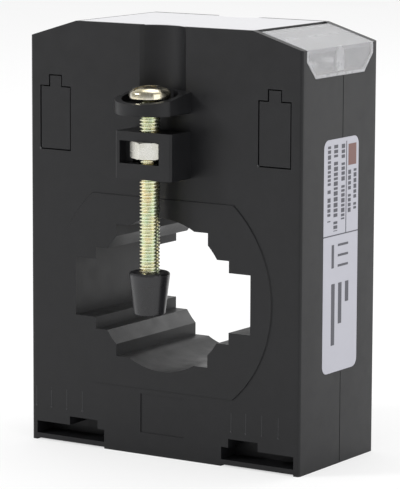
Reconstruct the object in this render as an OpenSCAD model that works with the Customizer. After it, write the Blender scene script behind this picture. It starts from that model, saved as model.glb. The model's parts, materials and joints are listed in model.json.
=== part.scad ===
// Window current transformer in a two-part moulded case, with a busbar clamp
// screw on each face and covered screw terminals at the two top corners.
// +Z is up, the front face looks along -Y, and the origin is at the centre of the base.

/* [Case] */
// Overall width across the two sides
case_w = 94; // [86:1:114]
// Depth of the case from front face to rear face
case_d = 42.3; // [36:0.1:56]
// Height of the flat top above the base
case_h = 127; // [124:1:154]
// Width of each sloping shoulder at the top corners
shoulder_w = 16.5; // [15.5:0.5:19]
// How far a shoulder falls from the top to the side
shoulder_drop = 5; // [3:0.5:7]
// Radius of the upright edges and of the face edges
edge_r = 0.9; // [0.4:0.1:2]
// Thickness of the outer walls
wall = 2.2; // [1.6:0.1:3]
// Depth of the front shell, from the front face to the seam
front_shell_d = 23; // [19:0.5:25]

/* [Window] */
// Height of the window centre above the base
window_z = 48.3; // [46:0.1:60]
// Radius of the round part of the window
window_r = 22.7; // [18:0.1:24]
// Length and height of the widest bar slot
bar_wide = [61, 17.4]; // [50:0.2:70]
// Length and height of the middle bar slot
bar_middle = [46.4, 24.4]; // [36:0.2:50]
// Length and height of the narrow bar slot
bar_narrow = [32, 39.4]; // [24:0.2:42]
// Thickness of the window tube
tube_wall = 2; // [1.2:0.1:3]
// Radius of the raised panel round the window
panel_r = 37.4; // [34:0.1:42]
// Half height of the raised panel
panel_half_h = 28.35; // [25:0.05:32]
// How far the panel stands proud of the face
panel_step = 0.4; // [0.2:0.1:0.6]

/* [Core and winding] */
// Radial thickness of the strip-wound core
core_t = 5.5; // [4:0.5:6]
// Depth of the core along the busbar
core_d = 28; // [16:0.5:32]
// Thickness of the winding round the core
winding_t = 1.8; // [1:0.1:2.2]
// Diameter of the winding leads
lead_d = 1.8; // [1:0.1:2.4]

/* [Busbar clamp] */
// Distance from the face to the axis of the clamp screw
clamp_offset = 6.6; // [6.6:0.1:8]
// Thread diameter of the clamp screw
clamp_d = 6; // [5:0.5:6]
// Head diameter of the clamp screw
clamp_head_d = 12; // [9:0.1:13]
// Head height of the clamp screw
clamp_head_h = 4.4; // [3:0.1:4.6]
// How far the seat under the screw head lies below the top of the case
seat_drop = 21.8; // [16:0.2:23]
// Thickness of the collar under the seat
collar_t = 3.1; // [2.4:0.1:4]
// Half width of the collar
collar_half_w = 9.7; // [8.5:0.1:10]
// How far the curved front of the collar stands out from the face
collar_out = 16.3; // [15:0.1:18]
// Thickness of the lip round the seat
lip_t = 1.5; // [1:0.1:2.4]
// Height of the lip above the seat at the face of the case
lip_h = 3.2; // [3:0.1:4]
// Slope of the lip towards its front, in degrees
lip_slope = 10; // [3:0.5:10]
// How far the underside of the nut block lies below the seat
block_drop = 21.9; // [20.5:0.1:25]
// Height of the nut block
block_h = 13.7; // [12:0.1:16]
// Half width of the nut block
block_half_w = 9.7; // [9:0.1:11]
// How far the nut block stands out from the face
block_out = 10.2; // [10.2:0.1:12]
// Width across flats and height of the clamp nut
nut_size = [10, 5]; // [4:0.1:12]
// Height of the clamp nut above the underside of its block
nut_lift = 4.4; // [4:0.1:5.5]
// Radius of the screwdriver groove above the screw
groove_r = 10.4; // [9.9:0.1:11]
// Length of the rubber-like pressure cap
cap_h = 12.6; // [9:0.1:14]
// Top and bottom radius of the pressure cap
cap_r = [6, 4.6]; // [4:0.1:6]
// Height of the underside of the front cap
cap_z = 43.6; // [42:0.1:50]
// How far the rear clamp screw is backed off
rear_backed_off = 12; // [8:0.5:14]

/* [Terminals] */
// Distance between the two screws of one terminal
terminal_pitch = 13.2; // [11:0.1:14]
// Distance of the terminal screws from the side of the case
terminal_inset = 8.4; // [7.5:0.1:10]
// Depth of the floor of the terminal pocket below the top of the case
pocket_drop = 13.6; // [12.5:0.1:15]
// Thickness of the rims at both ends of the pocket
pocket_rim = 2.3; // [2:0.1:3]
// Thickness of the brass terminal plate
plate_t = 1; // [0.8:0.1:1.2]
// Thread diameter of the terminal screws
terminal_d = 4; // [3:0.5:4.5]
// Head diameter and head height of the terminal screws
terminal_head = [7.2, 2.5]; // [2:0.1:8]
// Side and thickness of the square wire clamps
wire_clamp = [8, 1.1]; // [0.8:0.1:9]
// Thickness of the clear terminal covers
cover_t = 1.2; // [0.9:0.1:1.5]
// Radius of the hinge barrel of a cover
hinge_r = 1.2; // [1:0.1:1.4]

/* [Feet and latches] */
// Distance of the outer and inner edge of a foot slot from the side of the case
foot_inset = [1.9, 26.4]; // [1.6:0.1:28]
// Underside and roof of a foot slot
foot_z = [2, 5.7]; // [1.6:0.1:7]
// Distance of the raised step from the inner edge of its foot slot, and its width
foot_step = [2.4, 10.1]; // [1:0.1:18]
// Roof of the raised step
foot_step_z = 8.3; // [7:0.1:9]
// Depth of a foot slot
foot_depth = 8; // [5:0.5:10]
// How far the rail under a slot stands clear of the ground
rail_lift = 0.5; // [0.3:0.1:0.8]
// Width and height of a latch tongue
latch_size = [10.3, 18.4]; // [8:0.1:20]
// Width and height of the nub above a latch tongue
nub_size = [4, 3.3]; // [2:0.1:5]
// Centre of a latch tongue from the side of the case
latch_inset = 9; // [8:0.1:11]
// How far the underside of a latch tongue lies below the top of the case
latch_drop = 38.3; // [37:0.1:43]

/* [Labels] */
// Width and height of the side label
side_label_size = [19.6, 68]; // [14:0.5:80]
// Underside of the side label
side_label_z = 27.5; // [20:0.5:32]
// Thickness of both labels
label_t = 0.2; // [0.15:0.05:0.3]

/* [Fits] */
// Gap round a latch tongue
latch_gap = 0.35; // [0.2:0.05:0.5]
// Radial running clearance of the threads
thread_fit = 0.05; // [0.03:0.01:0.1]
// Clearance on each side of the clamp nut in its pocket
nut_fit = 0.5; // [0.1:0.05:0.6]
// Radial clearance of a screw in a plain hole
hole_fit = 0.2; // [0.1:0.05:0.4]
// How far the head of a clamp screw stands clear of its seat when it is run in
head_clear = 0.7; // [0.1:0.1:1]
// Small gap between parts that rest on each other and then turn or slide
seat_fit = 0.05; // [0.02:0.01:0.1]
// Clearance between a cover and its pocket
cover_fit = 0.2; // [0.1:0.05:0.3]
// Clearance between the winding and the case
winding_fit = 0.1; // [0.05:0.05:0.3]

/* [Hidden] */
$fn = 64;
e = 0.01;

half_w = case_w / 2;
half_d = case_d / 2;
side_h = case_h - shoulder_drop;
shoulder_x = half_w - shoulder_w;
slope = shoulder_drop / shoulder_w;
seam_y = front_shell_d - half_d;
seam_groove = 0.3;

// Winding: a stadium-like ring round the window tube, seated on the floor of the case
coil_inner_r = norm([bar_wide[0] / 2 + tube_wall, bar_wide[1] / 2 + tube_wall]) + winding_fit;
coil_inner_h = max(window_r, bar_narrow[1] / 2) + tube_wall + winding_fit;
coil_grow = core_t + 2 * winding_t;
coil_d = core_d + 2 * winding_t;
floor_z = window_z - coil_inner_h - coil_grow - winding_fit;

// Busbar clamp, drawn for the front face
axis_y = -half_d - clamp_offset;
seat_z = case_h - seat_drop;
block_z = seat_z - block_drop;
nut_z = block_z + nut_lift;
nut_slot_h = nut_size[1] + 1.6;
nut_rest_z = nut_z + nut_slot_h - nut_size[1] - seat_fit;
nut_window = [2.6, 3];
collar_bulge = collar_out - block_out;
collar_arc_r = (collar_half_w * collar_half_w + collar_bulge * collar_bulge) / (2 * collar_bulge);
soft_edge = 0.8;
nut_slot_half_w = nut_size[0] / 2 + nut_fit;
nut_corner_r = nut_size[0] / 2 / cos(30);
cap_floor_t = 5;
screw_tip_z = cap_z + cap_floor_t;

// Terminals
terminal_x = half_w - terminal_inset;
terminal_y = terminal_pitch / 2;
pocket_z = case_h - pocket_drop;
plate_z = pocket_z + seat_fit;
clamp_seat_z = plate_z + plate_t + seat_fit;
head_seat_z = clamp_seat_z + wire_clamp[1] + seat_fit;
terminal_screw_l = 8;
block_floor_t = 2.5;
block_low_z = pocket_z - terminal_screw_l - block_floor_t;
block_x = shoulder_x - wall;
pocket_y = half_d - pocket_rim;
lead_x = shoulder_x + 2.4;
lead_y = -pocket_y + 4;
lead_start_x = 10;
sleeve_h = 2.6;

// Covers: the hinge axis runs along Y just inside the inner end of the shoulder
hinge_x = shoulder_x + cover_fit + hinge_r;
hinge_z = case_h - (hinge_x - shoulder_x) * slope - hinge_r * sqrt(1 + slope * slope);
pin_r = 0.8;
pin_l = 1.2;
flap_z = pocket_z + cover_fit / 2;
flap_break_z = flap_z + 5.2;
flap_taper = 5;
cover_rib = [0.8, 4.2, 4.6];
cover_rib_z = flap_z + 1.2;

// Feet and latches
foot_x = [half_w - foot_inset[1], half_w - foot_inset[0]];
foot_step_x = foot_x[0] + foot_step[0];
latch_x = half_w - latch_inset;
latch_z = case_h - latch_drop;
mark_size = [15.2, 11.6];
mark_z = 6.6;
mark_depth = 0.25;

module mirror_x() {
    children();
    mirror([1, 0, 0]) children();
}

// Draws its children on the front face and turned round onto the rear face
module both_faces() {
    children();
    rotate([0, 0, 180]) children();
}

// Extrudes a profile drawn in X and Z between two depths
module along_y(y0, y1) {
    translate([0, y1, 0]) rotate([90, 0, 0]) linear_extrude(y1 - y0) children();
}

module rounded_rect(size, r) {
    square([size[0] - 2 * r, size[1]], center = true);
    square([size[0], size[1] - 2 * r], center = true);
    for (x = [-1, 1], y = [-1, 1])
        translate([x * (size[0] / 2 - r), y * (size[1] / 2 - r)]) circle(r);
}

// Outline of the case from the front, drawn in from the outside by inset
module case_outline(inset = 0) {
    polygon([[-half_w + inset, inset], [half_w - inset, inset],
             [half_w - inset, side_h - inset], [shoulder_x - inset * slope, case_h - inset],
             [-shoulder_x + inset * slope, case_h - inset], [-half_w + inset, side_h - inset]]);
}

// Window outline from the front, drawn out from the opening by grow
module window_outline(grow = 0) {
    translate([0, window_z]) {
        circle(window_r + grow, $fn = 96);
        for (bar = [bar_wide, bar_middle, bar_narrow])
            square([bar[0] + 2 * grow, bar[1] + 2 * grow], center = true);
    }
}

// Outline of the coil from the front, drawn out from its inner edge by grow
module coil_outline(grow = 0) {
    translate([0, window_z]) intersection() {
        circle(coil_inner_r + grow, $fn = 128);
        square([2 * (coil_inner_r + grow), 2 * (coil_inner_h + grow)], center = true);
    }
}

module case_block() {
    intersection() {
        along_y(-half_d, half_d) case_outline();
        linear_extrude(case_h) rounded_rect([case_w, case_d], edge_r);
    }
}

// Raised panel round the window with a sloping edge, on the front face
module window_panel() {
    slope_w = 0.8;
    intersection() {
        translate([0, -half_d + 1, window_z]) rotate([90, 0, 0])
            cylinder(h = 1 + panel_step, r1 = panel_r + slope_w, r2 = panel_r, $fn = 128);
        translate([-half_w, -half_d - panel_step, window_z - panel_half_h])
            cube([case_w, 1 + panel_step, 2 * panel_half_h]);
    }
}

// Plan of the collar: straight sides as far as the nut block and a curved front
module collar_plan(inset = 0) {
    intersection() {
        translate([-collar_half_w + inset, -collar_out])
            square([2 * (collar_half_w - inset), collar_out + 1]);
        union() {
            translate([0, collar_arc_r - collar_out]) circle(collar_arc_r - inset, $fn = 128);
            translate([-collar_half_w, -block_out]) square([2 * collar_half_w, block_out + 1]);
        }
    }
}

// Collar under the screw head: a cup whose lip rises towards the face
module clamp_collar() {
    translate([0, -half_d, seat_z - collar_t]) difference() {
        union() {
            linear_extrude(lip_h) collar_plan(soft_edge / 2);
            translate([0, 0, soft_edge / 2]) linear_extrude(collar_t + lip_h) collar_plan();
        }
        translate([-case_w / 2, 0, collar_t + lip_h]) rotate([lip_slope, 0, 0])
            translate([0, -case_d, 0]) cube([case_w, case_d + 2, case_h]);
    }
}

// Nut block under the collar, with softened upright edges
module clamp_block() {
    translate([0, -half_d, block_z]) linear_extrude(block_h) intersection() {
        rounded_rect([2 * block_half_w, 2 * block_out], soft_edge);
        translate([-block_half_w, -block_out]) square([2 * block_half_w, block_out + 1]);
    }
}

// Screwdriver groove that opens at the top of the face
module clamp_groove() {
    translate([-case_w / 2, -half_d, seat_z]) intersection() {
        cube([case_w, case_d, case_h]);
        translate([case_w / 2, -clamp_offset, 0]) cylinder(h = case_h, r = groove_r, $fn = 96);
    }
}

// Seat for the head, screw bore and nut pocket, cut from the front face
module clamp_cuts() {
    translate([0, axis_y, seat_z]) cylinder(h = case_h, r = collar_half_w - lip_t, $fn = 96);
    translate([0, axis_y, block_z - 1])
        cylinder(h = seat_z - block_z + 2, r = clamp_d / 2 + hole_fit);
    translate([-nut_slot_half_w, axis_y - block_out, nut_z])
        cube([2 * nut_slot_half_w, block_out + nut_corner_r + seat_fit, nut_slot_h]);
    translate([-nut_slot_half_w - nut_window[0], -half_d - block_out - 1, nut_z])
        cube([nut_window[0] + e, nut_window[1] + 1, nut_slot_h]);
}

// One stepped slot for a fixing foot with the rail below it, on the right of the front face
module foot_slot() {
    along_y(-half_d - 1, -half_d + foot_depth) {
        translate([foot_x[0], foot_z[0]]) square([foot_x[1] - foot_x[0], foot_z[1] - foot_z[0]]);
        translate([foot_step_x, foot_z[0]]) square([foot_step[1], foot_step_z - foot_z[0]]);
        translate([foot_x[0], -1]) square([foot_x[1] - foot_x[0], 1 + rail_lift]);
    }
}

module latch_outline(grow = 0) {
    translate([latch_x - latch_size[0] / 2 - grow, latch_z - grow])
        square([latch_size[0] + 2 * grow, latch_size[1] + 2 * grow]);
    translate([latch_x - nub_size[0] / 2 - grow, latch_z + latch_size[1] - 1])
        square([nub_size[0] + 2 * grow, nub_size[1] + 1 + grow]);
}

// Recess for the square moulding mark below the window
module mark_recess() {
    translate([-mark_size[0] / 2, -half_d - 1, mark_z])
        cube([mark_size[0], 1 + mark_depth, mark_size[1]]);
}

module side_label_shape(grow, depth) {
    translate([half_w - depth, seam_y - 0.7, side_label_z + side_label_size[1] / 2])
        rotate([90, 0, 90]) linear_extrude(depth + (grow > 0 ? 1 : 0))
            rounded_rect([side_label_size[0] + 2 * grow, side_label_size[1] + 2 * grow], 2.5);
}

module rating_label_shape(grow, depth) {
    size = [2 * shoulder_x - 1 + 2 * grow, case_d - 2.4 + 2 * grow];
    translate([0, 0, case_h - depth]) linear_extrude(depth + (grow > 0 ? 1 : 0))
        rounded_rect(size, 0.8);
}

// Trapezoid flap outline on the side of the case, drawn in Y and Z
module flap_outline(inset = 0) {
    polygon([[-pocket_y + inset, case_h + 1], [-pocket_y + inset, flap_break_z],
             [-pocket_y + flap_taper + inset, flap_z + inset / 2],
             [pocket_y - flap_taper - inset, flap_z + inset / 2],
             [pocket_y - inset, flap_break_z], [pocket_y - inset, case_h + 1]]);
}

// Terminal pocket at the right shoulder, with its side opening, screw holes and hinge holes
module terminal_pocket() {
    inner_wall_t = 1.3;
    translate([shoulder_x, -pocket_y, pocket_z])
        cube([shoulder_w - inner_wall_t, 2 * pocket_y, case_h]);
    translate([half_w - inner_wall_t - 1, 0, 0]) rotate([90, 0, 90])
        linear_extrude(inner_wall_t + 2) flap_outline();
    for (y = [-terminal_y, terminal_y])
        translate([terminal_x, y, block_low_z + 1])
            cylinder(h = pocket_z, r = terminal_d / 2 + 1.6);
    translate([hinge_x, -pocket_y - pin_l - cover_fit, hinge_z]) rotate([-90, 0, 0])
        cylinder(h = 2 * (pocket_y + pin_l + cover_fit), r = pin_r + cover_fit / 2);
    translate([lead_x, lead_y, block_low_z - 1])
        cylinder(h = case_h, r = lead_d / 2 + hole_fit);
}

// Hollow inside of the case: the coil chamber and the space between the terminal blocks
module case_cavity() {
    difference() {
        along_y(-half_d + wall, half_d - wall) {
            translate([-half_w + wall, floor_z])
                square([case_w - 2 * wall, block_low_z - floor_z]);
            translate([-block_x, floor_z]) square([2 * block_x, case_h - wall - floor_z]);
        }
        along_y(-half_d, half_d) window_outline(tube_wall);
        both_faces() translate([0, axis_y, block_z])
            cylinder(h = case_h, r = groove_r + wall, $fn = 96);
    }
}

module whole_case() {
    difference() {
        union() {
            difference() {
                case_block();
                both_faces() clamp_groove();
            }
            both_faces() {
                window_panel();
                clamp_collar();
                clamp_block();
            }
        }
        case_cavity();
        along_y(-half_d - 1, half_d + 1) window_outline();
        both_faces() {
            clamp_cuts();
            mirror_x() foot_slot();
        }
        mark_recess();
        mirror_x() terminal_pocket();
        side_label_shape(0.1, label_t);
        rating_label_shape(0.1, label_t);
    }
}

module front_half() {
    translate([-case_w, seam_y - case_d * 2, -1]) cube([2 * case_w, case_d * 2, case_h + 2]);
}

// Fine line cut round the outside of the case at the seam
module seam_line() {
    difference() {
        translate([-case_w, seam_y - seam_groove, -1]) cube([2 * case_w, seam_groove + 1, case_h + 2]);
        along_y(seam_y - 2, seam_y + 2) case_outline(seam_groove);
    }
}

module front_shell() {
    color("#2a2b2e") difference() {
        intersection() {
            whole_case();
            front_half();
        }
        seam_line();
        mirror_x() along_y(-half_d - 1, -half_d + wall + 0.3) latch_outline(latch_gap);
    }
}

// Latch tongue that reaches through the case from the rear wall to the front face
module latch_arm() {
    stem = [6, 4];
    along_y(-half_d + 0.1, -half_d + wall) latch_outline();
    translate([latch_x - stem[0] / 2, -half_d + wall - e, latch_z + 1])
        cube([stem[0], case_d - 2 * wall + 2 * e, stem[1]]);
}

module rear_shell() {
    color("#27282b") union() {
        difference() {
            whole_case();
            front_half();
        }
        mirror_x() latch_arm();
    }
}

module core() {
    color("#8d9096") along_y(-core_d / 2, core_d / 2) difference() {
        coil_outline(winding_t + core_t);
        coil_outline(winding_t);
    }
}

// The turns lie inside, outside and behind the core, and the ring closes its front
module winding() {
    color("#b4692f") difference() {
        along_y(-coil_d / 2 + winding_t, coil_d / 2) difference() {
            coil_outline(coil_grow);
            coil_outline();
        }
        along_y(-core_d, core_d / 2) difference() {
            coil_outline(winding_t + core_t);
            coil_outline(winding_t);
        }
    }
}

module insulation_ring() {
    color("#d9c68c") along_y(-coil_d / 2, -coil_d / 2 + winding_t) difference() {
        coil_outline(coil_grow);
        coil_outline();
    }
}

// Lead from the top of the winding up to the underside of the terminal plate
module lead_right() {
    low_z = window_z + coil_inner_h + coil_grow + seat_fit;
    color("#b4692f") translate([lead_x, lead_y, low_z + lead_d / 2]) {
        sphere(d = lead_d, $fn = 32);
        cylinder(h = plate_z - seat_fit - low_z - lead_d / 2, d = lead_d);
        rotate([0, -90, 0]) cylinder(h = lead_x - lead_start_x, d = lead_d);
    }
}

// Brass plate under both screws of a terminal, with a tapped sleeve under each
module terminal_plate_right() {
    color("#c9b27a") difference() {
        union() {
            translate([shoulder_x + 0.6, -pocket_y + 1, plate_z])
                cube([shoulder_w - 3.6, 2 * pocket_y - 2, plate_t]);
            for (y = [-terminal_y, terminal_y])
                translate([terminal_x, y, plate_z - sleeve_h])
                    cylinder(h = sleeve_h + e, r = terminal_d / 2 + 1.1);
        }
        for (y = [-terminal_y, terminal_y])
            translate([terminal_x, y, plate_z - sleeve_h - 1])
                cylinder(h = sleeve_h + plate_t + 2, r = terminal_d / 2 + thread_fit);
    }
}

// Square clamp washer with two turned-down edges that keep a wire under it
module wire_clamp_at(y) {
    side = wire_clamp[0];
    rib = [1.2, 0.3];
    color("#c9ccd0") difference() {
        translate([terminal_x - side / 2, y - side / 2, clamp_seat_z])
            cube([side, side, wire_clamp[1]]);
        translate([terminal_x, y, clamp_seat_z - 1])
            cylinder(h = wire_clamp[1] + 2, r = terminal_d / 2 + hole_fit);
        for (x = [-1, 1])
            translate([terminal_x + x * side * 0.28 - rib[0] / 2, y - side / 2 - 1, clamp_seat_z - e])
                cube([rib[0], side + 2, rib[1]]);
    }
}

// Crowned screw head standing on its seat, with a cross recess and a slot
module screw_head(d, h) {
    crown_r = (d * d / 4 + h * h / 4) / h;
    slot_w = d * 0.11;
    difference() {
        intersection() {
            rotate_extrude($fn = 72)
                polygon([[0, 0], [d / 2 - 0.25, 0], [d / 2, 0.25], [d / 2, h * 0.5],
                         [d / 2 - 0.2, h * 0.62], [0, h * 1.2]]);
            translate([0, 0, h - crown_r - 0.02]) sphere(crown_r, $fn = 96);
        }
        for (a = [0, 90])
            rotate([0, 0, a]) translate([-d * 0.27, -slot_w / 2, h * 0.42])
                cube([d * 0.54, slot_w, h]);
        translate([-d, -slot_w / 2, h * 0.66]) cube([2 * d, slot_w, h]);
    }
}

module terminal_screw_at(y) {
    color("#d5d7da") translate([terminal_x, y, head_seat_z]) {
        screw_head(terminal_head[0], terminal_head[1]);
        translate([0, 0, -terminal_screw_l]) cylinder(h = terminal_screw_l + e, d = terminal_d);
    }
}

// Clear cover: a sloping lid and a tapered side flap, hinged at its inner end
module terminal_cover_right() {
    len_y = pocket_y - cover_fit;
    color("#dfe6e8", 0.45) union() {
        intersection() {
            along_y(-len_y, len_y) polygon([
                [hinge_x, case_h - (hinge_x - shoulder_x) * slope],
                [half_w, side_h], [half_w, flap_z], [half_w - cover_t, flap_z],
                [half_w - cover_t, side_h - cover_t],
                [hinge_x, case_h - (hinge_x - shoulder_x) * slope - cover_t]]);
            translate([shoulder_x, 0, 0]) rotate([90, 0, 90])
                linear_extrude(shoulder_w) flap_outline(cover_fit);
        }
        translate([hinge_x, -len_y, hinge_z]) rotate([-90, 0, 0])
            cylinder(h = 2 * len_y, r = hinge_r);
        translate([hinge_x, -len_y - pin_l, hinge_z]) rotate([-90, 0, 0])
            cylinder(h = 2 * (len_y + pin_l), r = pin_r);
        translate([half_w - cover_t - cover_rib[0], -cover_rib[1] / 2, cover_rib_z])
            cube([cover_rib[0] + e, cover_rib[1], cover_rib[2]]);
    }
}

// Long clamp screw: head on the collar and tip in the pressure cap
module clamp_screw_at(lift) {
    color("#cdb673") translate([0, axis_y, lift]) {
        translate([0, 0, seat_z + head_clear]) screw_head(clamp_head_d, clamp_head_h);
        translate([0, 0, screw_tip_z])
            cylinder(h = seat_z + head_clear - screw_tip_z + e, d = clamp_d);
    }
}

// Hexagon nut held between the side walls of its pocket, with a corner to the front
module clamp_nut_front() {
    h = nut_size[1];
    bevel = 0.5;
    color("#b9bcc2") translate([0, axis_y, nut_rest_z]) difference() {
        intersection() {
            rotate([0, 0, 30]) cylinder(h = h, r = nut_corner_r, $fn = 6);
            rotate_extrude($fn = 72)
                polygon([[0, 0], [nut_corner_r - bevel, 0], [nut_corner_r, bevel * 0.6],
                         [nut_corner_r, h - bevel * 0.6], [nut_corner_r - bevel, h], [0, h]]);
        }
        translate([0, 0, -1]) cylinder(h = h + 2, r = clamp_d / 2 + thread_fit);
    }
}

// Tapered pressure cap with a blind hole for the screw tip
module clamp_cap_at(lift) {
    round_r = 0.7;
    color("#232427") translate([0, axis_y, cap_z + lift]) difference() {
        rotate_extrude($fn = 72) polygon([
            [0, 0], [cap_r[1] - round_r, 0], [cap_r[1] - 0.2, 0.2], [cap_r[1], round_r],
            [cap_r[0], cap_h - round_r], [cap_r[0] - 0.2, cap_h - 0.2],
            [cap_r[0] - round_r, cap_h], [0, cap_h]]);
        translate([0, 0, screw_tip_z - cap_z - seat_fit])
            cylinder(h = cap_h, r = clamp_d / 2 + thread_fit);
    }
}

module rating_label() {
    color("#dcdde0") difference() {
        rating_label_shape(0, label_t);
        both_faces() translate([0, axis_y, seat_z])
            cylinder(h = case_h, r = groove_r + 0.2, $fn = 96);
    }
}

module side_label() {
    color("#bfc0c8") side_label_shape(0, label_t);
}

front_shell();
rear_shell();
core();
winding();
insulation_ring();
mirror([1, 0, 0]) lead_right();  // lead_left
lead_right();
mirror([1, 0, 0]) terminal_plate_right();  // terminal_plate_left
terminal_plate_right();
mirror([1, 0, 0]) wire_clamp_at(-terminal_y);  // wire_clamp_left_front
mirror([1, 0, 0]) wire_clamp_at(terminal_y);  // wire_clamp_left_rear
wire_clamp_at(-terminal_y);  // wire_clamp_right_front
wire_clamp_at(terminal_y);  // wire_clamp_right_rear
mirror([1, 0, 0]) terminal_screw_at(-terminal_y);  // terminal_screw_left_front
mirror([1, 0, 0]) terminal_screw_at(terminal_y);  // terminal_screw_left_rear
terminal_screw_at(-terminal_y);  // terminal_screw_right_front
terminal_screw_at(terminal_y);  // terminal_screw_right_rear
mirror([1, 0, 0]) terminal_cover_right();  // terminal_cover_left
terminal_cover_right();
clamp_screw_at(0);  // clamp_screw_front
rotate([0, 0, 180]) clamp_screw_at(rear_backed_off);  // clamp_screw_rear
clamp_nut_front();
rotate([0, 0, 180]) clamp_nut_front();  // clamp_nut_rear
clamp_cap_at(0);  // clamp_cap_front
rotate([0, 0, 180]) clamp_cap_at(rear_backed_off);  // clamp_cap_rear
rating_label();
side_label();
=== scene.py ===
"""Looks of a window current transformer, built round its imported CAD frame."""

import json
import math

import bmesh
import bpy
from bpy.props import FloatProperty, FloatVectorProperty, PointerProperty
from mathutils import Matrix, Vector

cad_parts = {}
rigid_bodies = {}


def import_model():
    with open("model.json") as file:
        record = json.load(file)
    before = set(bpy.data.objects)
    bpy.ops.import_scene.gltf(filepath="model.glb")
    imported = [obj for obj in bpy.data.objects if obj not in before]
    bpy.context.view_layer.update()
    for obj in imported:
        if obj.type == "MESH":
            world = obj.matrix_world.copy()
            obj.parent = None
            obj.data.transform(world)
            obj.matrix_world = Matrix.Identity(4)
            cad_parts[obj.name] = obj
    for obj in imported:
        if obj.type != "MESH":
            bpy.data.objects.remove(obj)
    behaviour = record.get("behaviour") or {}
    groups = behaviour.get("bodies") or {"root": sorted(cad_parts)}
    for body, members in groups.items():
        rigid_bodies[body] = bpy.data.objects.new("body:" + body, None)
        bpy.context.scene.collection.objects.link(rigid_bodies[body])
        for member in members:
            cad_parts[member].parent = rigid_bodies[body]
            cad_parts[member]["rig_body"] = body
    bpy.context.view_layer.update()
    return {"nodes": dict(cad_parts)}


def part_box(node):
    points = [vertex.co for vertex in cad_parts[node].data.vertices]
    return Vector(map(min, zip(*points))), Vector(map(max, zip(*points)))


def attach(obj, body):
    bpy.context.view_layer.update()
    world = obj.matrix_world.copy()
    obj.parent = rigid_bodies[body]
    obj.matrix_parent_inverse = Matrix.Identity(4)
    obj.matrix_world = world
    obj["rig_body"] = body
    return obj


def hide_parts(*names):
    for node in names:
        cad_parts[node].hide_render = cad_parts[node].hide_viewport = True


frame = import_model()

bl_info = {
    "name": "Window current transformer",
    "version": (1, 0, 0),
    "blender": (4, 5, 0),
    "location": "3D View > Sidebar > Transformer",
    "description": "Finishes the case, clamp, terminals and labels of a window current transformer",
    "category": "Object",
}

MM = 0.001
MERGE = 0.002 * MM

# front face of the case, without the raised panel
FACE_Y = -21.15 * MM

# clamp screw: shank radius, head height, and the room above the tip and under the head
SHANK_R = 3.0 * MM
HEAD_H = 3.8 * MM
THREAD_TIP = 0.6 * MM
THREAD_END = 0.4 * MM
CORE_LIFT = 0.05 * MM
HEAD_TURNS = (("front", math.radians(62)), ("rear", math.radians(20)))

# recess in the head, as shares of the head's radius and height
SLOT_WIDTH = 0.22
SLOT_LENGTH = 2.2
CROSS_LENGTH = 1.05
SLOT_DEPTH = 0.34
CROSS_DEPTH = 0.6

# side flap of a terminal cover: its hinge pins, the height of its bend, and its tapered bottom
FLAP_PIN = 1.2 * MM
FLAP_TOP = 121.5 * MM
FLAP_BREAK = 5.2 * MM
FLAP_TAPER = 5 * MM
# rim band: its width, inset and slope; the band is a lighter frosted border that paints the flap's
# edge highlight
RIM = 0.9 * MM
RIM_INSET = 0.12 * MM
RIM_SLOPE = 0.06 * MM

# grip tongue on the flap
TONGUE_WIDTH = 4.2 * MM
TONGUE_THICK = 0.7 * MM
TONGUE_BAR = 5.0 * MM
TONGUE_INSET = 0.55 * MM
TONGUE_BAR_Z = 3.9 * MM
TONGUE_DISC_Z = 6.2 * MM

# finger guards under the lid: spans from front to rear in millimetres, and the two rows
GUARD_SPANS = ((-15.6, -8.8), (-3.2, 0.2), (1.6, 8.4), (9.8, 13.4))
GUARD_THICK = 0.5 * MM
GUARD_HEIGHT = 2.4 * MM
GUARD_INSET = 11.6 * MM
GUARD_ROWS = (0.0, 2.4 * MM)
GUARD_Z = 122.45 * MM

# moulding pips and lines over the foot slots and beside the latches
FOOT_PIPS = (-45.3, -39.8, -34.2, -28.5, 24.0, 29.0, 34.45, 40.0)
FOOT_PIP_Z = 10.5 * MM
FOOT_PIP_R = 0.34 * MM
LINE_Z = (10.9 * MM, 16.4 * MM)
LINE_WIDTH = 0.16 * MM
LINE_RELIEF = 0.08 * MM
LATCH_PIPS = (-43.4, 32.6)
LATCH_PIP_Z = 88.6 * MM
LATCH_PIP_R = 0.4 * MM

# side label: room for the print, then its columns (place across, start, end, height, seed),
# bars (from, to across; from, to down) and patch, with places across as shares of the width
INK_ROOM = 0.03 * MM
COLUMNS = (
    (0.15, 1.8, 23.7, 1.7, 3), (0.34, 1.7, 26.7, 2.2, 5), (0.55, 1.8, 23.7, 1.9, 11),
    (0.74, 9.7, 22.6, 1.6, 17), (0.9, 9.6, 21.4, 1.6, 23),
)
THIN_LINE = (0.635, 0.655, 1.1, 27.7)
DIVIDER = (27.7, 28.05)
DIVIDER_INSET = 0.01 * MM
BARS = (
    (0.24, 0.31, 30.6, 37.4), (0.42, 0.72, 30.6, 31.3), (0.42, 0.72, 33.6, 34.3),
    (0.42, 0.72, 36.6, 37.3), (0.24, 0.34, 42.0, 60.0), (0.44, 0.54, 42.0, 54.0),
    (0.64, 0.74, 42.0, 48.0),
)
PATCH = (0.7, 0.93, 2.1, 8.3)

# stage: half width of the floor, what the lamps aim at, and the camera's target
FLOOR_HALF = 6.0
LAMP_AIM = Vector((0, 0, 0.06))
CAMERA_AIM = Vector((0.14, -1.15, 60.73)) * MM


# ---------------------------------------------------------------- settings


class TRF_CaseSettings(bpy.types.PropertyGroup):
    """Finish of the moulded case"""

    color: FloatVectorProperty(
        name="Case colour", description="Colour of the moulded case", subtype="COLOR",
        size=3, min=0, max=1, default=(0.0085, 0.0086, 0.0095),
    )
    edge_radius: FloatProperty(
        name="Edge radius", description="Rounding of the moulded edges", unit="LENGTH",
        default=0.28 * MM, min=0.05 * MM, max=0.6 * MM,
    )
    grain: FloatProperty(
        name="Grain size", description="Size of the spark-eroded grain", unit="LENGTH",
        default=0.32 * MM, min=0.05 * MM, max=2 * MM,
    )


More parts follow.
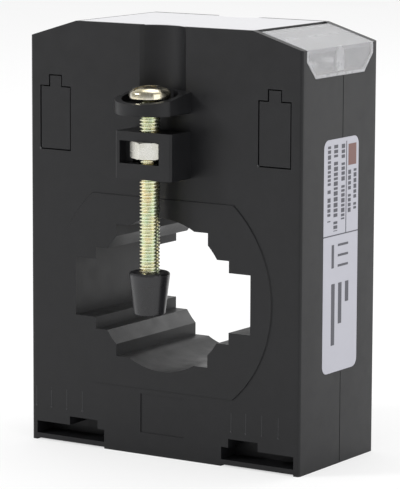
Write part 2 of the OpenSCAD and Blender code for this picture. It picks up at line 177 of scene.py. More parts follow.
class TRF_ClampSettings(bpy.types.PropertyGroup):
    """Finish of the clamp screws, nuts and caps"""

    pitch: FloatProperty(
        name="Thread pitch", description="Rise of the clamp thread in one turn", unit="LENGTH",
        default=1.0 * MM, min=0.5 * MM, max=1.5 * MM,
    )
    thread_depth: FloatProperty(
        name="Thread depth", description="Depth of the thread flanks", unit="LENGTH",
        default=0.56 * MM, min=0.2 * MM, max=0.8 * MM,
    )
    zinc_color: FloatVectorProperty(
        name="Zinc colour", description="Colour of the passivated zinc plating", subtype="COLOR",
        size=3, min=0, max=1, default=(0.86, 0.78, 0.55),
    )
    cap_color: FloatVectorProperty(
        name="Cap colour", description="Colour of the pressure cap", subtype="COLOR",
        size=3, min=0, max=1, default=(0.012, 0.012, 0.0135),
    )


class TRF_TerminalSettings(bpy.types.PropertyGroup):
    """Finish of the terminals and their clear covers"""

    cover_tint: FloatVectorProperty(
        name="Cover tint", description="Tint of the clear covers", subtype="COLOR",
        size=3, min=0, max=1, default=(0.74, 0.74, 0.76),
    )
    # lighter than the cover tint: the rim in this colour is a painted edge highlight, and the tongue
    # and guards share it
    rim_color: FloatVectorProperty(
        name="Rim colour", description="Colour of the frosted cover edges", subtype="COLOR",
        size=3, min=0, max=1, default=(0.82, 0.82, 0.84),
    )
    plating_color: FloatVectorProperty(
        name="Plating colour", description="Colour of the plated terminal parts", subtype="COLOR",
        size=3, min=0, max=1, default=(0.78, 0.77, 0.74),
    )


class TRF_LabelSettings(bpy.types.PropertyGroup):
    """Finish of the two labels"""

    top_color: FloatVectorProperty(
        name="Top label colour", description="Ground colour of the rating label", subtype="COLOR",
        size=3, min=0, max=1, default=(0.62, 0.62, 0.64),
    )
    side_color: FloatVectorProperty(
        name="Side label colour", description="Ground colour of the side label", subtype="COLOR",
        size=3, min=0, max=1, default=(0.42, 0.42, 0.47),
    )
    ink_color: FloatVectorProperty(
        name="Ink colour", description="Colour of the plain printed bars", subtype="COLOR",
        size=3, min=0, max=1, default=(0.06, 0.06, 0.075),
    )
    patch_color: FloatVectorProperty(
        name="Patch colour", description="Colour of the plain printed patch", subtype="COLOR",
        size=3, min=0, max=1, default=(0.16, 0.075, 0.065),
    )


class TRF_StageSettings(bpy.types.PropertyGroup):
    """Camera, lamps and floor"""

    azimuth: FloatProperty(
        name="Azimuth", description="Camera angle round the object", unit="ROTATION",
        default=math.radians(32.87),
    )
    elevation: FloatProperty(
        name="Elevation", description="Camera angle above the horizon", unit="ROTATION",
        default=math.radians(8.78),
    )
    roll: FloatProperty(
        name="Roll", description="Camera tilt about its own axis", unit="ROTATION",
        default=math.radians(0.23),
    )
    distance: FloatProperty(
        name="Distance", description="Camera distance from its target", unit="LENGTH",
        default=0.8965, min=0.3, max=3,
    )
    lens: FloatProperty(
        name="Focal length", description="Focal length of the camera", unit="CAMERA",
        default=222.6, min=20, max=400,
    )
    key_power: FloatProperty(
        name="Key power", description="Power of the large soft lamp", default=9.0, min=0, max=100,
    )


SETTINGS = {
    "trf_case": TRF_CaseSettings,
    "trf_clamp": TRF_ClampSettings,
    "trf_terminals": TRF_TerminalSettings,
    "trf_labels": TRF_LabelSettings,
    "trf_stage": TRF_StageSettings,
}


# ---------------------------------------------------------------- node helpers


class Nodes:
    """Short way to add and link nodes in one node tree"""

    def __init__(self, tree):
        self.tree = tree

    def add(self, kind, location=(0, 0), **values):
        node = self.tree.nodes.new(kind)
        node.location = location
        for key, value in values.items():
            setattr(node, key, value)
        return node

    def link(self, source, target):
        self.tree.links.new(source, target)

    def math(self, operation, a, b=0.0, clamp=False):
        node = self.add("ShaderNodeMath", operation=operation, use_clamp=clamp)
        for socket, value in zip(node.inputs, (a, b)):
            if hasattr(value, "is_output"):
                self.link(value, socket)
            else:
                socket.default_value = value
        return node.outputs[0]

    def mix_color(self, factor, a, b):
        node = self.add("ShaderNodeMix", data_type="RGBA")
        for socket, value in ((node.inputs[0], factor), (node.inputs[6], a), (node.inputs[7], b)):
            if hasattr(value, "is_output"):
                self.link(value, socket)
            else:
                socket.default_value = value
        return node.outputs[2]

    def noise(self, vector, scale, detail=2.0, roughness=0.5):
        node = self.add("ShaderNodeTexNoise")
        self.link(vector, node.inputs["Vector"])
        if hasattr(scale, "is_output"):
            self.link(scale, node.inputs["Scale"])
        else:
            node.inputs["Scale"].default_value = scale
        node.inputs["Detail"].default_value = detail
        node.inputs["Roughness"].default_value = roughness
        return node.outputs[0]

    def ramp(self, value, low, high, out_low=0.0, out_high=1.0):
        node = self.add("ShaderNodeMapRange")
        self.link(value, node.inputs[0])
        for socket, number in zip(node.inputs[1:5], (low, high, out_low, out_high)):
            socket.default_value = number
        return node.outputs[0]


def new_group(name, inputs, outputs):
    """A shader node group with its interface; returns the group, its helper and its two end nodes"""
    group = bpy.data.node_groups.new(name, "ShaderNodeTree")
    for label, kind, default in inputs:
        socket = group.interface.new_socket(label, in_out="INPUT", socket_type=kind)
        if default is not None:
            socket.default_value = default
    for label, kind in outputs:
        group.interface.new_socket(label, in_out="OUTPUT", socket_type=kind)
    nodes = Nodes(group)
    start = nodes.add("NodeGroupInput", (-900, 0))
    end = nodes.add("NodeGroupOutput", (600, 0))
    return group, nodes, start, end


def grain_group():
    """Fine moulded grain: a height, a roughness shift and a faint colour mottle"""
    if "moulded_grain" in bpy.data.node_groups:
        return bpy.data.node_groups["moulded_grain"]
    group, nodes, start, end = new_group(
        "moulded_grain",
        [("Grain Size", "NodeSocketFloat", 0.0003), ("Mottle Size", "NodeSocketFloat", 0.006)],
        [("Height", "NodeSocketFloat"), ("Roughness Shift", "NodeSocketFloat"),
         ("Mottle", "NodeSocketFloat")],
    )
    coords = nodes.add("ShaderNodeTexCoord")
    vector = coords.outputs["Object"]
    fine_scale = nodes.math("DIVIDE", 1.0, start.outputs["Grain Size"])
    mottle_scale = nodes.math("DIVIDE", 1.0, start.outputs["Mottle Size"])
    fine = nodes.noise(vector, fine_scale, detail=1.5, roughness=0.6)
    mottle = nodes.noise(vector, mottle_scale, detail=4.0, roughness=0.62)
    nodes.link(fine, end.inputs["Height"])
    nodes.link(nodes.ramp(mottle, 0.3, 0.7, -0.06, 0.06), end.inputs["Roughness Shift"])
    nodes.link(nodes.ramp(mottle, 0.3, 0.72), end.inputs["Mottle"])
    return group


def new_material(name):
    material = bpy.data.materials.new(name)
    material.use_nodes = True
    tree = material.node_tree
    nodes = Nodes(tree)
    shader = tree.nodes["Principled BSDF"]
    return material, nodes, shader


def plastic(name, color, roughness, grain, bump, mottle=0.35, specular=0.5):
    """Grained moulded plastic"""
    material, nodes, shader = new_material(name)
    group = nodes.add("ShaderNodeGroup", (-500, 0), node_tree=grain_group())
    group.inputs["Grain Size"].default_value = grain
    group.inputs["Mottle Size"].default_value = 0.005
    dark = (*color, 1)
    light = (*[min(1.0, c * (1 + mottle)) for c in color], 1)
    nodes.link(nodes.mix_color(group.outputs["Mottle"], dark, light), shader.inputs["Base Color"])
    shader.inputs["Specular IOR Level"].default_value = specular
    rough = nodes.math("ADD", group.outputs["Roughness Shift"], roughness)
    nodes.link(rough, shader.inputs["Roughness"])
    relief = nodes.add("ShaderNodeBump", (-250, -300))
    relief.inputs["Strength"].default_value = bump
    relief.inputs["Distance"].default_value = 0.05 * MM
    nodes.link(group.outputs["Height"], relief.inputs["Height"])
    nodes.link(relief.outputs[0], shader.inputs["Normal"])
    return material


def plated(name, color, tint, roughness, streak=0.0004):
    """Plated metal with cloudy tints and fine handling marks"""
    material, nodes, shader = new_material(name)
    coords = nodes.add("ShaderNodeTexCoord")
    vector = coords.outputs["Object"]
    cloud = nodes.ramp(nodes.noise(vector, 260.0, detail=3.0), 0.35, 0.65)
    shade = nodes.mix_color(cloud, (*color, 1), (*tint, 1))
    nodes.link(shade, shader.inputs["Base Color"])
    shader.inputs["Metallic"].default_value = 1.0
    fine = nodes.noise(vector, 1 / streak, detail=2.0)
    nodes.link(nodes.ramp(fine, 0.3, 0.7, roughness - 0.07, roughness + 0.09),
               shader.inputs["Roughness"])
    relief = nodes.add("ShaderNodeBump", (-250, -300))
    relief.inputs["Strength"].default_value = 0.12
    relief.inputs["Distance"].default_value = 0.03 * MM
    nodes.link(fine, relief.inputs["Height"])
    nodes.link(relief.outputs[0], shader.inputs["Normal"])
    return material


# ---------------------------------------------------------------- mesh helpers


def finish_mesh(bm, name, body, materials, replaced=()):
    """Turns a bmesh into a piece of the object that rides on a body"""
    mesh = bpy.data.meshes.new(name)
    bm.to_mesh(mesh)
    bm.free()
    piece = bpy.data.objects.new(name, mesh)
    bpy.context.scene.collection.objects.link(piece)
    for material in materials:
        mesh.materials.append(material)
    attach(piece, body)
    if replaced:
        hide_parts(*replaced)
    return piece


def mark_sharp(bm, limit):
    """Smooth faces, with the edges above the limit left sharp"""
    for face in bm.faces:
        face.smooth = True
    for edge in bm.edges:
        edge.smooth = len(edge.link_faces) == 2 and edge.calc_face_angle(0.0) < limit


def softened_copy(node, name, material, radius, limit=math.radians(32), segments=2):
    """A copy of a CAD node with its edges rounded, shown in place of the node"""
    source = frame["nodes"][node]
    bm = bmesh.new()
    bm.from_mesh(source.data)
    bmesh.ops.remove_doubles(bm, verts=bm.verts, dist=MERGE)
    bmesh.ops.dissolve_limit(bm, angle_limit=math.radians(0.6), verts=bm.verts, edges=bm.edges)
    mark_sharp(bm, limit)
    piece = finish_mesh(bm, name, source["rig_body"], [material], [node])
    bevel = piece.modifiers.new("rounded_edges", "BEVEL")
    bevel.width = radius
    bevel.segments = segments
    bevel.limit_method = "ANGLE"
    bevel.angle_limit = limit
    bevel.harden_normals = True
    bevel.use_clamp_overlap = True
    return piece


def dress(node, material):
    """Puts one material on a CAD node that is shown as it is"""
    data = frame["nodes"][node].data
    data.materials.clear()
    data.materials.append(material)


# ---------------------------------------------------------------- operators


class TRF_OT_case(bpy.types.Operator):
    """Case shells with rounded edges and a fine moulded grain"""

    bl_idname = "trf.case"
    bl_label = "Case"

    def execute(self, context):
        look = context.scene.trf_case
        material = plastic("case_black", look.color, 0.4, look.grain, 0.5, specular=0.3)
        for node, slot in (("front_shell", "case_black"), ("rear_shell", "case_black_rear")):
            softened_copy(node, node + "_moulded", material, look.edge_radius)
        return {"FINISHED"}


class TRF_OT_inside(bpy.types.Operator):
    """Core, winding, insulation and leads inside the case"""

    bl_idname = "trf.inside"
    bl_label = "Core and winding"

    def execute(self, context):
        steel = plated("core_steel", (0.42, 0.43, 0.45), (0.5, 0.5, 0.52), 0.4)
        copper = plated("copper_enamel", (0.55, 0.2, 0.07), (0.62, 0.26, 0.1), 0.3)
        board = plastic("pressboard", (0.5, 0.4, 0.2), 0.7, 0.5 * MM, 0.4)
        dress("core", steel)
        dress("insulation_ring", board)
        for node in ("winding", "lead_left", "lead_right"):
            dress(node, copper)
        return {"FINISHED"}


def add_thread(bm, radius, depth, pitch, bottom, top, steps=28):
    """Helical thread flanks between two heights, round the Z axis"""
    turns = int((top - bottom) / pitch)
    root = radius - depth
    points = [(root, 0.0), (root, 0.08), (radius, 0.38), (radius, 0.66), (root, 0.96)]
    verts = [bm.verts.new((r, 0, bottom + part * pitch)) for r, part in points]
    edges = [bm.edges.new(pair) for pair in zip(verts, verts[1:])]
    bmesh.ops.spin(
        bm, geom=verts + edges, cent=(0, 0, 0), axis=(0, 0, 1), dvec=(0, 0, pitch / steps),
        angle=2 * math.pi * turns, steps=steps * turns, use_duplicate=False,
    )


def add_head(bm, radius, height, seat):
    """Crowned head with rounded rim, drawn as a half profile and spun"""
    crown = height * 0.42
    profile = [(0, 0), (radius - 0.35 * MM, 0), (radius, 0.3 * MM), (radius, height * 0.42),
               (radius - 0.12 * MM, height * 0.54)]
    for step in range(1, 9):
        angle = math.radians(90) * step / 8
        profile.append(((radius - 0.5 * MM) * math.cos(angle) if step < 8 else 0,
                        height * 0.58 + crown * math.sin(angle)))
    verts = [bm.verts.new((x, 0, seat + z)) for x, z in profile]
    edges = [bm.edges.new(pair) for pair in zip(verts, verts[1:])]
    bmesh.ops.spin(bm, geom=verts + edges, cent=(0, 0, 0), axis=(0, 0, 1), angle=2 * math.pi,
                   steps=72, use_merge=True, use_duplicate=False)


def cut_recess(piece, radius, height, seat, turn):
    """Cross recess and slot cut into a head"""
    bm = bmesh.new()
    slot_w = radius * SLOT_WIDTH
    for index, angle in enumerate((turn, turn + math.pi / 2)):
        length = radius * (SLOT_LENGTH if index == 0 else CROSS_LENGTH)
        depth = height * (SLOT_DEPTH if index == 0 else CROSS_DEPTH)
        box = bmesh.ops.create_cube(bm, size=1.0)["verts"]
        bmesh.ops.scale(bm, verts=box, vec=(length, slot_w * (1 + 0.002 * index), 2 * depth))
        bmesh.ops.rotate(bm, verts=box, cent=(0, 0, 0), matrix=Matrix.Rotation(angle, 3, "Z"))
        bmesh.ops.translate(bm, verts=box, vec=(0, 0, seat + height))
    box = bmesh.ops.create_cube(bm, size=1.0)["verts"]
    bmesh.ops.scale(bm, verts=box, vec=(
        radius * CROSS_LENGTH, slot_w * 0.99, 2 * CROSS_DEPTH * height))
    bmesh.ops.rotate(bm, verts=box, cent=(0, 0, 0), matrix=Matrix.Rotation(turn, 3, "Z"))
    bmesh.ops.translate(bm, verts=box, vec=(0, 0, seat + height))
    cutter_mesh = bpy.data.meshes.new("recess")
    bm.to_mesh(cutter_mesh)
    bm.free()
    cutter = bpy.data.objects.new("recess", cutter_mesh)
    bpy.context.scene.collection.objects.link(cutter)
    boolean = piece.modifiers.new("recess", "BOOLEAN")
    boolean.operation = "DIFFERENCE"
    boolean.solver = "EXACT"
    boolean.use_self = True
    boolean.object = cutter
    bpy.context.view_layer.update()
    evaluated = piece.evaluated_get(bpy.context.evaluated_depsgraph_get())
    result = bpy.data.meshes.new_from_object(evaluated)
    piece.modifiers.clear()
    piece.data = result
    bpy.data.objects.remove(cutter)


class TRF_OT_clamp_screws(bpy.types.Operator):
    """Threaded clamp screws with combination heads"""

    bl_idname = "trf.clamp_screws"
    bl_label = "Clamp screws"

    def execute(self, context):
        look = context.scene.trf_clamp
        # the head gets a paler, glossier copy of the thread's zinc: a painted sheen on the head
        sheen_pale = tuple(0.5 * c + 0.45 for c in look.zinc_color)
        thread = plated("zinc_yellow", look.zinc_color, (0.72, 0.8, 0.62), 0.24)
        head_sheen_zinc = plated("zinc_head_painted_sheen", sheen_pale, look.zinc_color, 0.2)
        for end, turn in HEAD_TURNS:
            node = "clamp_screw_" + end
            body = frame["nodes"][node]["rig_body"]
            low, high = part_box(node)
            centre = (low + high) / 2
            head_r = (high.x - low.x) / 2
            seat = high.z - HEAD_H
            tip = low.z
            bm = bmesh.new()
            add_head(bm, head_r, HEAD_H, seat)
            bmesh.ops.remove_doubles(bm, verts=bm.verts, dist=0.001 * MM)
            bmesh.ops.recalc_face_normals(bm, faces=bm.faces)
            mark_sharp(bm, math.radians(40))
            head = finish_mesh(bm, node + "_head", body, [head_sheen_zinc])
            cut_recess(head, head_r, HEAD_H, seat, turn)
            mesh = head.data
            bm = bmesh.new()
            bm.from_mesh(mesh)
            mark_sharp(bm, math.radians(35))
            bm.to_mesh(mesh)
            bm.free()
            mesh.transform(Matrix.Translation((centre.x, centre.y, 0)))
            bm = bmesh.new()
            add_thread(bm, SHANK_R, look.thread_depth, look.pitch, tip + THREAD_TIP,
                       seat - THREAD_END)
            bmesh.ops.remove_doubles(bm, verts=bm.verts, dist=0.004 * MM)
            core = bmesh.ops.create_cone(bm, cap_ends=True, segments=32,
                                         radius1=SHANK_R - look.thread_depth,
                                         radius2=SHANK_R - look.thread_depth,
                                         depth=seat - tip)["verts"]
            bmesh.ops.translate(bm, verts=core, vec=(0, 0, (seat + tip) / 2 + CORE_LIFT))
            bmesh.ops.recalc_face_normals(bm, faces=bm.faces)
            mark_sharp(bm, math.radians(35))
            bmesh.ops.translate(bm, verts=bm.verts, vec=(centre.x, centre.y, 0))
            finish_mesh(bm, node + "_thread", body, [thread], [node])
        return {"FINISHED"}


class TRF_OT_clamp_nuts(bpy.types.Operator):
    """Hexagon nuts in the clamp blocks"""

    bl_idname = "trf.clamp_nuts"
    bl_label = "Clamp nuts"

    def execute(self, context):
        material = plated("zinc_nut", (0.8, 0.79, 0.74), (0.7, 0.69, 0.62), 0.3)
        for end in ("front", "rear"):
            softened_copy("clamp_nut_" + end, "clamp_nut_" + end + "_rounded",
                          material, 0.15 * MM)
        return {"FINISHED"}


class TRF_OT_pressure_caps(bpy.types.Operator):
    """Smooth pressure caps on the screw tips"""

    bl_idname = "trf.pressure_caps"
    bl_label = "Pressure caps"

    def execute(self, context):
        look = context.scene.trf_clamp
        material = plastic("cap_black", look.cap_color, 0.3, 0.8 * MM, 0.15)
        for end in ("front", "rear"):
            softened_copy("clamp_cap_" + end, "clamp_cap_" + end + "_rounded",
                          material, 0.3 * MM, limit=math.radians(28), segments=3)
        return {"FINISHED"}


class TRF_OT_terminals(bpy.types.Operator):
    """Terminal plates, wire clamps and screws"""

    bl_idname = "trf.terminals"
    bl_label = "Terminals"

    def execute(self, context):
        look = context.scene.trf_terminals
        plate = plated("terminal_plate", (0.75, 0.68, 0.5), (0.78, 0.72, 0.58), 0.3)
        steel = plated("terminal_steel", look.plating_color, (0.66, 0.66, 0.66), 0.28)
        for side in ("left", "right"):
            dress("terminal_plate_" + side, plate)
            for end in ("front", "rear"):
                place = side + "_" + end
                softened_copy("wire_clamp_" + place, "wire_clamp_" + place + "_rounded",
                              steel, 0.12 * MM)
                softened_copy("terminal_screw_" + place, "terminal_screw_" + place + "_rounded",
                              steel, 0.1 * MM)
        return {"FINISHED"}


class TRF_OT_covers(bpy.types.Operator):
    """Clear terminal covers with a lighter rim that paints their edge highlight, a grip tongue and
    finger guards
    """

    bl_idname = "trf.covers"
    bl_label = "Terminal covers"

    def execute(self, context):
        look = context.scene.trf_terminals
        clear = self.make_clear("clear_cover", look.cover_tint, 0.72, 0.12)
        # frosted material, lighter than the cover: on the rim it paints the edge highlight; the
        # tongue and guards use it too
        frosted_and_highlight = self.make_clear("frosted_edge_and_highlight", look.rim_color, 0.25, 0.3)
        for side, sign in (("left", -1), ("right", 1)):
            node = "terminal_cover_" + side
            softened_copy(node, node + "_clear", clear, 0.25 * MM)
            body = frame["nodes"][node]["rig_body"]
            low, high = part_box(node)
            outer = high.x if sign > 0 else low.x
            half = (high.y - low.y) / 2 - FLAP_PIN
            self.add_rim(node, body, outer, sign, low.z, half, frosted_and_highlight)
            self.add_tongue(node, body, outer, sign, low.z, frosted_and_highlight)
            self.add_guards(node, body, outer, sign, frosted_and_highlight)
        return {"FINISHED"}

    def make_clear(self, name, tint, clearness, roughness):
        material, nodes, shader = new_material(name)
        shader.inputs["Base Color"].default_value = (*tint, 1)
        shader.inputs["Transmission Weight"].default_value = clearness
        shader.inputs["IOR"].default_value = 1.49
        coords = nodes.add("ShaderNodeTexCoord")
        haze = nodes.noise(coords.outputs["Object"], 400.0, detail=3.0)
        nodes.link(nodes.ramp(haze, 0.3, 0.7, roughness - 0.05, roughness + 0.08),
                   shader.inputs["Roughness"])
        return material

    def add_rim(self, node, body, outer, sign, base, half, material):
        """Frosted border inside the edge of the flap, lighter than the cover: a painted edge
        highlight
        """
        path = [(-half, FLAP_TOP), (-half, base + FLAP_BREAK), (-half + FLAP_TAPER, base),
                (half - FLAP_TAPER, base), (half, base + FLAP_BREAK), (half, FLAP_TOP)]
        inner = [(-half + RIM, FLAP_TOP), (-half + RIM, base + FLAP_BREAK),
                 (-half + FLAP_TAPER + RIM / 2, base + RIM),
                 (half - FLAP_TAPER - RIM / 2, base + RIM),
                 (half - RIM, base + FLAP_BREAK), (half - RIM, FLAP_TOP)]
        bm = bmesh.new()
        near = outer - sign * RIM_INSET
        outside = [bm.verts.new((near, y, z + RIM_SLOPE)) for y, z in path]
        inside = [bm.verts.new((near, y, z)) for y, z in inner]
        for index in range(len(path) - 1):
            bm.faces.new((outside[index], outside[index + 1], inside[index + 1], inside[index]))
        ring = bmesh.ops.extrude_face_region(bm, geom=bm.faces[:])["geom"]
        verts = [item for item in ring if isinstance(item, bmesh.types.BMVert)]
        bmesh.ops.translate(bm, verts=verts, vec=(-sign * RIM, 0, 0))
        bmesh.ops.recalc_face_normals(bm, faces=bm.faces)
        finish_mesh(bm, node + "_rim", body, [material])

    def add_tongue(self, node, body, outer, sign, base, material):
        """Round-topped grip tongue moulded into the flap"""
        bm = bmesh.new()
        x = outer - sign * TONGUE_INSET
        box = bmesh.ops.create_cube(bm, size=1.0)["verts"]
        bmesh.ops.scale(bm, verts=box, vec=(TONGUE_THICK, TONGUE_WIDTH, TONGUE_BAR))
        bmesh.ops.translate(bm, verts=box, vec=(x, 0, base + TONGUE_BAR_Z))
        disc = bmesh.ops.create_cone(bm, cap_ends=True, segments=32, radius1=TONGUE_WIDTH / 2,
                                     radius2=TONGUE_WIDTH / 2,
                                     depth=TONGUE_THICK - 0.02 * MM)["verts"]
        upright = Matrix.Rotation(math.pi / 2, 3, "Y")
        bmesh.ops.rotate(bm, verts=disc, cent=(0, 0, 0), matrix=upright)
        bmesh.ops.translate(bm, verts=disc, vec=(x, 0, base + TONGUE_DISC_Z))
        mark_sharp(bm, math.radians(35))
        finish_mesh(bm, node + "_tongue", body, [material])

    def add_guards(self, node, body, outer, sign, material):
        """Upright guard blades under the lid"""
        bm = bmesh.new()
        for start, end in GUARD_SPANS:
            for shift in GUARD_ROWS:
                box = bmesh.ops.create_cube(bm, size=1.0)["verts"]
                bmesh.ops.scale(bm, verts=box, vec=(
                    GUARD_THICK, (end - start) * MM, GUARD_HEIGHT))
                bmesh.ops.translate(bm, verts=box, vec=(
                    outer - sign * (GUARD_INSET - shift), (start + end) / 2 * MM, GUARD_Z))
        finish_mesh(bm, node + "_guards", body, [material])


class TRF_OT_moulding_marks(bpy.types.Operator):
    """Small moulding pips over the foot slots and beside the latches"""

    bl_idname = "trf.moulding_marks"
    bl_label = "Moulding marks"

    def execute(self, context):
        look = context.scene.trf_case
        # pips and lines use a lighter copy of the case plastic: a painted highlight on the small
        # reliefs
        material = plastic("case_pips_painted_highlight", tuple(2.2 * c for c in look.color), 0.3, look.grain, 0.2)
        for shell, turned in (("front_shell", False), ("rear_shell", True)):
            bm = bmesh.new()
            for x in FOOT_PIPS:
                self.pip(bm, x * MM, FACE_Y, FOOT_PIP_Z, FOOT_PIP_R)
                self.line(bm, x * MM, FACE_Y, *LINE_Z)
            for x in LATCH_PIPS:
                self.pip(bm, x * MM, FACE_Y, LATCH_PIP_Z, LATCH_PIP_R)
            if turned:
                bmesh.ops.rotate(bm, verts=bm.verts, cent=(0, 0, 0),
                                 matrix=Matrix.Rotation(math.pi, 3, "Z"))
            body = frame["nodes"][shell]["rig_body"]
            finish_mesh(bm, shell + "_pips", body, [material])
        return {"FINISHED"}

    def pip(self, bm, x, y, z, radius):
        ball = bmesh.ops.create_uvsphere(bm, u_segments=12, v_segments=8, radius=radius)["verts"]
        bmesh.ops.scale(bm, verts=ball, vec=(1, 0.5, 1))
        bmesh.ops.translate(bm, verts=ball, vec=(x, y, z))

    def line(self, bm, x, y, bottom, top):
        box = bmesh.ops.create_cube(bm, size=1.0)["verts"]
        bmesh.ops.scale(bm, verts=box, vec=(LINE_WIDTH, LINE_RELIEF, top - bottom))
        bmesh.ops.translate(bm, verts=box, vec=(x, y, (bottom + top) / 2))


def lowered_label(node, name, material, axis):
    """A copy of a label whose outer face lies a little lower, to leave room for its print"""
    source = frame["nodes"][node]
    bm = bmesh.new()
    bm.from_mesh(source.data)
    bmesh.ops.remove_doubles(bm, verts=bm.verts, dist=MERGE)
    outer = max(vert.co[axis] for vert in bm.verts)
    for vert in bm.verts:
        if vert.co[axis] > outer - 0.05 * MM:
            vert.co[axis] -= INK_ROOM
    return finish_mesh(bm, name, source["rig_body"], [material], [node])


def word_lengths(total, seed):
    """Repeatable lengths of short plain bars and gaps that fill one printed line"""
    spans = []
    place = 0.0
    count = seed
    while place < total:
        count = (count * 13 + 7) % 31
        length = (0.75 + 0.25 * (count % 3)) * MM
        gap = (0.42 + (0.9 if count % 7 == 0 else 0.0)) * MM
        spans.append((place, min(place + length, total)))
        place += length + gap
    return spans


class TRF_OT_labels(bpy.types.Operator):
    """Rating label on the top and side label on the right, with plain bars for print"""

    bl_idname = "trf.labels"
    bl_label = "Labels"

    def execute(self, context):
        look = context.scene.trf_labels
        top = plastic("label_top", look.top_color, 0.35, 0.6 * MM, 0.06, 0.04)
        side = plastic("label_side", look.side_color, 0.35, 0.6 * MM, 0.06, 0.04)
        ink = plastic("label_ink", look.ink_color, 0.45, 0.6 * MM, 0.05, 0.1)
        patch = plastic("label_patch", look.patch_color, 0.45, 0.6 * MM, 0.05, 0.1)
        lowered_label("rating_label", "rating_label_film", top, 2)
        lowered_label("side_label", "side_label_film", side, 0)
        low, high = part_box("side_label")
        width = high.y - low.y
        body = frame["nodes"]["side_label"]["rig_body"]
        bm = bmesh.new()
        for column, start, end, height, seed in COLUMNS:
            middle = low.y + column * width
            for first, last in word_lengths((end - start) * MM, seed):
                self.bar(bm, high, (middle - height / 2 * MM, middle + height / 2 * MM),
                         (start * MM + first, start * MM + last))
        self.share_bar(bm, low, high, *THIN_LINE)
        self.bar(bm, high, (low.y + DIVIDER_INSET, high.y - DIVIDER_INSET),
                 (DIVIDER[0] * MM, DIVIDER[1] * MM))
        for spans in BARS:
            self.share_bar(bm, low, high, *spans)
        finish_mesh(bm, "side_label_print", body, [ink])
        bm = bmesh.new()
        self.share_bar(bm, low, high, *PATCH)
        finish_mesh(bm, "side_label_patch", body, [patch])
        return {"FINISHED"}

    def share_bar(self, bm, low, high, first, last, start, end):
        """One plain bar between two shares of the label's width, and two depths in millimetres"""
        width = high.y - low.y
        self.bar(bm, high, (low.y + first * width, low.y + last * width), (start * MM, end * MM))

    def bar(self, bm, corner, across, down):
        """One plain bar on the side label, measured down from its top edge"""
        box = bmesh.ops.create_cube(bm, size=1.0)["verts"]
        size = Vector((INK_ROOM, across[1] - across[0], down[1] - down[0]))
        centre = Vector((corner.x - 0.6 * INK_ROOM, sum(across) / 2, corner.z - sum(down) / 2))
        bmesh.ops.scale(bm, verts=box, vec=size)
        bmesh.ops.translate(bm, verts=box, vec=centre)


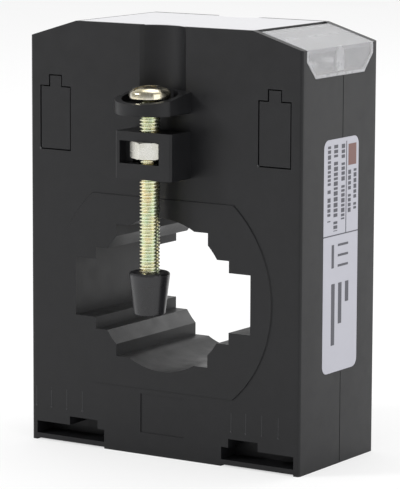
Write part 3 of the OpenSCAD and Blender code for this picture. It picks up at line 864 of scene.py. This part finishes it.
class TRF_OT_stage(bpy.types.Operator):
    """Floor, lamps, world and camera"""

    bl_idname = "trf.stage"
    bl_label = "Stage"

    def execute(self, context):
        look = context.scene.trf_stage
        self.make_floor()
        self.make_world(context)
        self.make_lamps(look)
        self.make_camera(context, look)
        context.scene.view_settings.view_transform = "Standard"
        return {"FINISHED"}

    def make_floor(self):
        bm = bmesh.new()
        bmesh.ops.create_grid(bm, x_segments=1, y_segments=1, size=FLOOR_HALF)
        mesh = bpy.data.meshes.new("floor")
        bm.to_mesh(mesh)
        bm.free()
        floor = bpy.data.objects.new("floor", mesh)
        bpy.context.scene.collection.objects.link(floor)
        material = bpy.data.materials.new("floor_pale")
        material.use_nodes = True
        nodes = Nodes(material.node_tree)
        shader = material.node_tree.nodes["Principled BSDF"]
        shader.inputs["Base Color"].default_value = (0.92, 0.92, 0.92, 1)
        shader.inputs["Roughness"].default_value = 0.9
        shader.inputs["Specular IOR Level"].default_value = 0.1
        glow = nodes.add("ShaderNodeEmission")
        glow.inputs["Strength"].default_value = 1.0
        path = nodes.add("ShaderNodeLightPath")
        mix = nodes.add("ShaderNodeMixShader")
        lit = nodes.math("MULTIPLY", path.outputs["Is Camera Ray"], 0.6)
        nodes.link(lit, mix.inputs[0])
        nodes.link(shader.outputs[0], mix.inputs[1])
        nodes.link(glow.outputs[0], mix.inputs[2])
        nodes.link(mix.outputs[0], material.node_tree.nodes["Material Output"].inputs[0])
        mesh.materials.append(material)

    def make_world(self, context):
        world = bpy.data.worlds.new("studio")
        world.use_nodes = True
        context.scene.world = world
        tree = world.node_tree
        nodes = Nodes(tree)
        back = tree.nodes["Background"]
        back.inputs[0].default_value = (1, 1, 1, 1)
        coords = nodes.add("ShaderNodeTexCoord")
        parts = nodes.add("ShaderNodeSeparateXYZ")
        nodes.link(coords.outputs["Generated"], parts.inputs[0])
        mirrored = nodes.ramp(parts.outputs[1], -0.3, 0.7, 0.22, 0.95)
        path = nodes.add("ShaderNodeLightPath")
        soft = nodes.math("MULTIPLY", path.outputs["Is Diffuse Ray"], 0.8)
        glossy = nodes.math("MULTIPLY", path.outputs["Is Glossy Ray"], mirrored)
        seen = nodes.math("MAXIMUM", path.outputs["Is Camera Ray"],
                          path.outputs["Is Transmission Ray"])
        nodes.link(nodes.math("MAXIMUM", seen, nodes.math("MAXIMUM", soft, glossy)),
                   back.inputs[1])

    def make_lamps(self, look):
        lamps = (
            ("key", (-0.95, -0.9, 0.75), 0.32, look.key_power),
            ("fill", (1.3, -0.4, 0.35), 0.9, look.key_power * 0.35),
            ("top", (0.0, 0.25, 1.3), 1.1, look.key_power * 0.5),
            ("rear", (0.5, 1.3, 0.6), 0.9, look.key_power * 0.6),
        )
        for name, place, size, power in lamps:
            data = bpy.data.lights.new(name, "AREA")
            data.shape = "SQUARE"
            data.size = size
            data.energy = power
            lamp = bpy.data.objects.new(name, data)
            lamp.location = place
            lamp.rotation_euler = (LAMP_AIM - Vector(place)).to_track_quat("-Z", "Y").to_euler()
            bpy.context.scene.collection.objects.link(lamp)

    def make_camera(self, context, look):
        data = bpy.data.cameras.new("camera")
        data.lens = look.lens
        data.sensor_width = 36
        data.clip_start = 0.01
        camera = bpy.data.objects.new("camera", data)
        azimuth, elevation = look.azimuth, look.elevation
        back = Vector((math.sin(azimuth) * math.cos(elevation),
                       -math.cos(azimuth) * math.cos(elevation), math.sin(elevation)))
        turn = (-back).to_track_quat("-Z", "Y").to_matrix() @ Matrix.Rotation(look.roll, 3, "Z")
        camera.matrix_world = Matrix.Translation(CAMERA_AIM + back * look.distance) @ turn.to_4x4()
        context.scene.collection.objects.link(camera)
        context.scene.camera = camera


STEPS = (TRF_OT_case, TRF_OT_inside, TRF_OT_clamp_screws, TRF_OT_clamp_nuts,
         TRF_OT_pressure_caps, TRF_OT_terminals, TRF_OT_covers, TRF_OT_moulding_marks,
         TRF_OT_labels, TRF_OT_stage)


class TRF_PT_panel(bpy.types.Panel):
    """Sidebar panel with one button for each group of pieces"""

    bl_idname = "TRF_PT_panel"
    bl_label = "Current transformer"
    bl_space_type = "VIEW_3D"
    bl_region_type = "UI"
    bl_category = "Transformer"

    def draw(self, context):
        for step in STEPS:
            self.layout.operator(step.bl_idname)


CLASSES = (*SETTINGS.values(), *STEPS, TRF_PT_panel)


def register():
    for cls in CLASSES:
        bpy.utils.register_class(cls)
    for name, cls in SETTINGS.items():
        setattr(bpy.types.Scene, name, PointerProperty(type=cls))


def unregister():
    for name in SETTINGS:
        delattr(bpy.types.Scene, name)
    for cls in reversed(CLASSES):
        bpy.utils.unregister_class(cls)


def main():
    register()
    for step in STEPS:
        family, action = step.bl_idname.split(".")
        getattr(getattr(bpy.ops, family), action)()


if __name__ == "__main__":
    main()
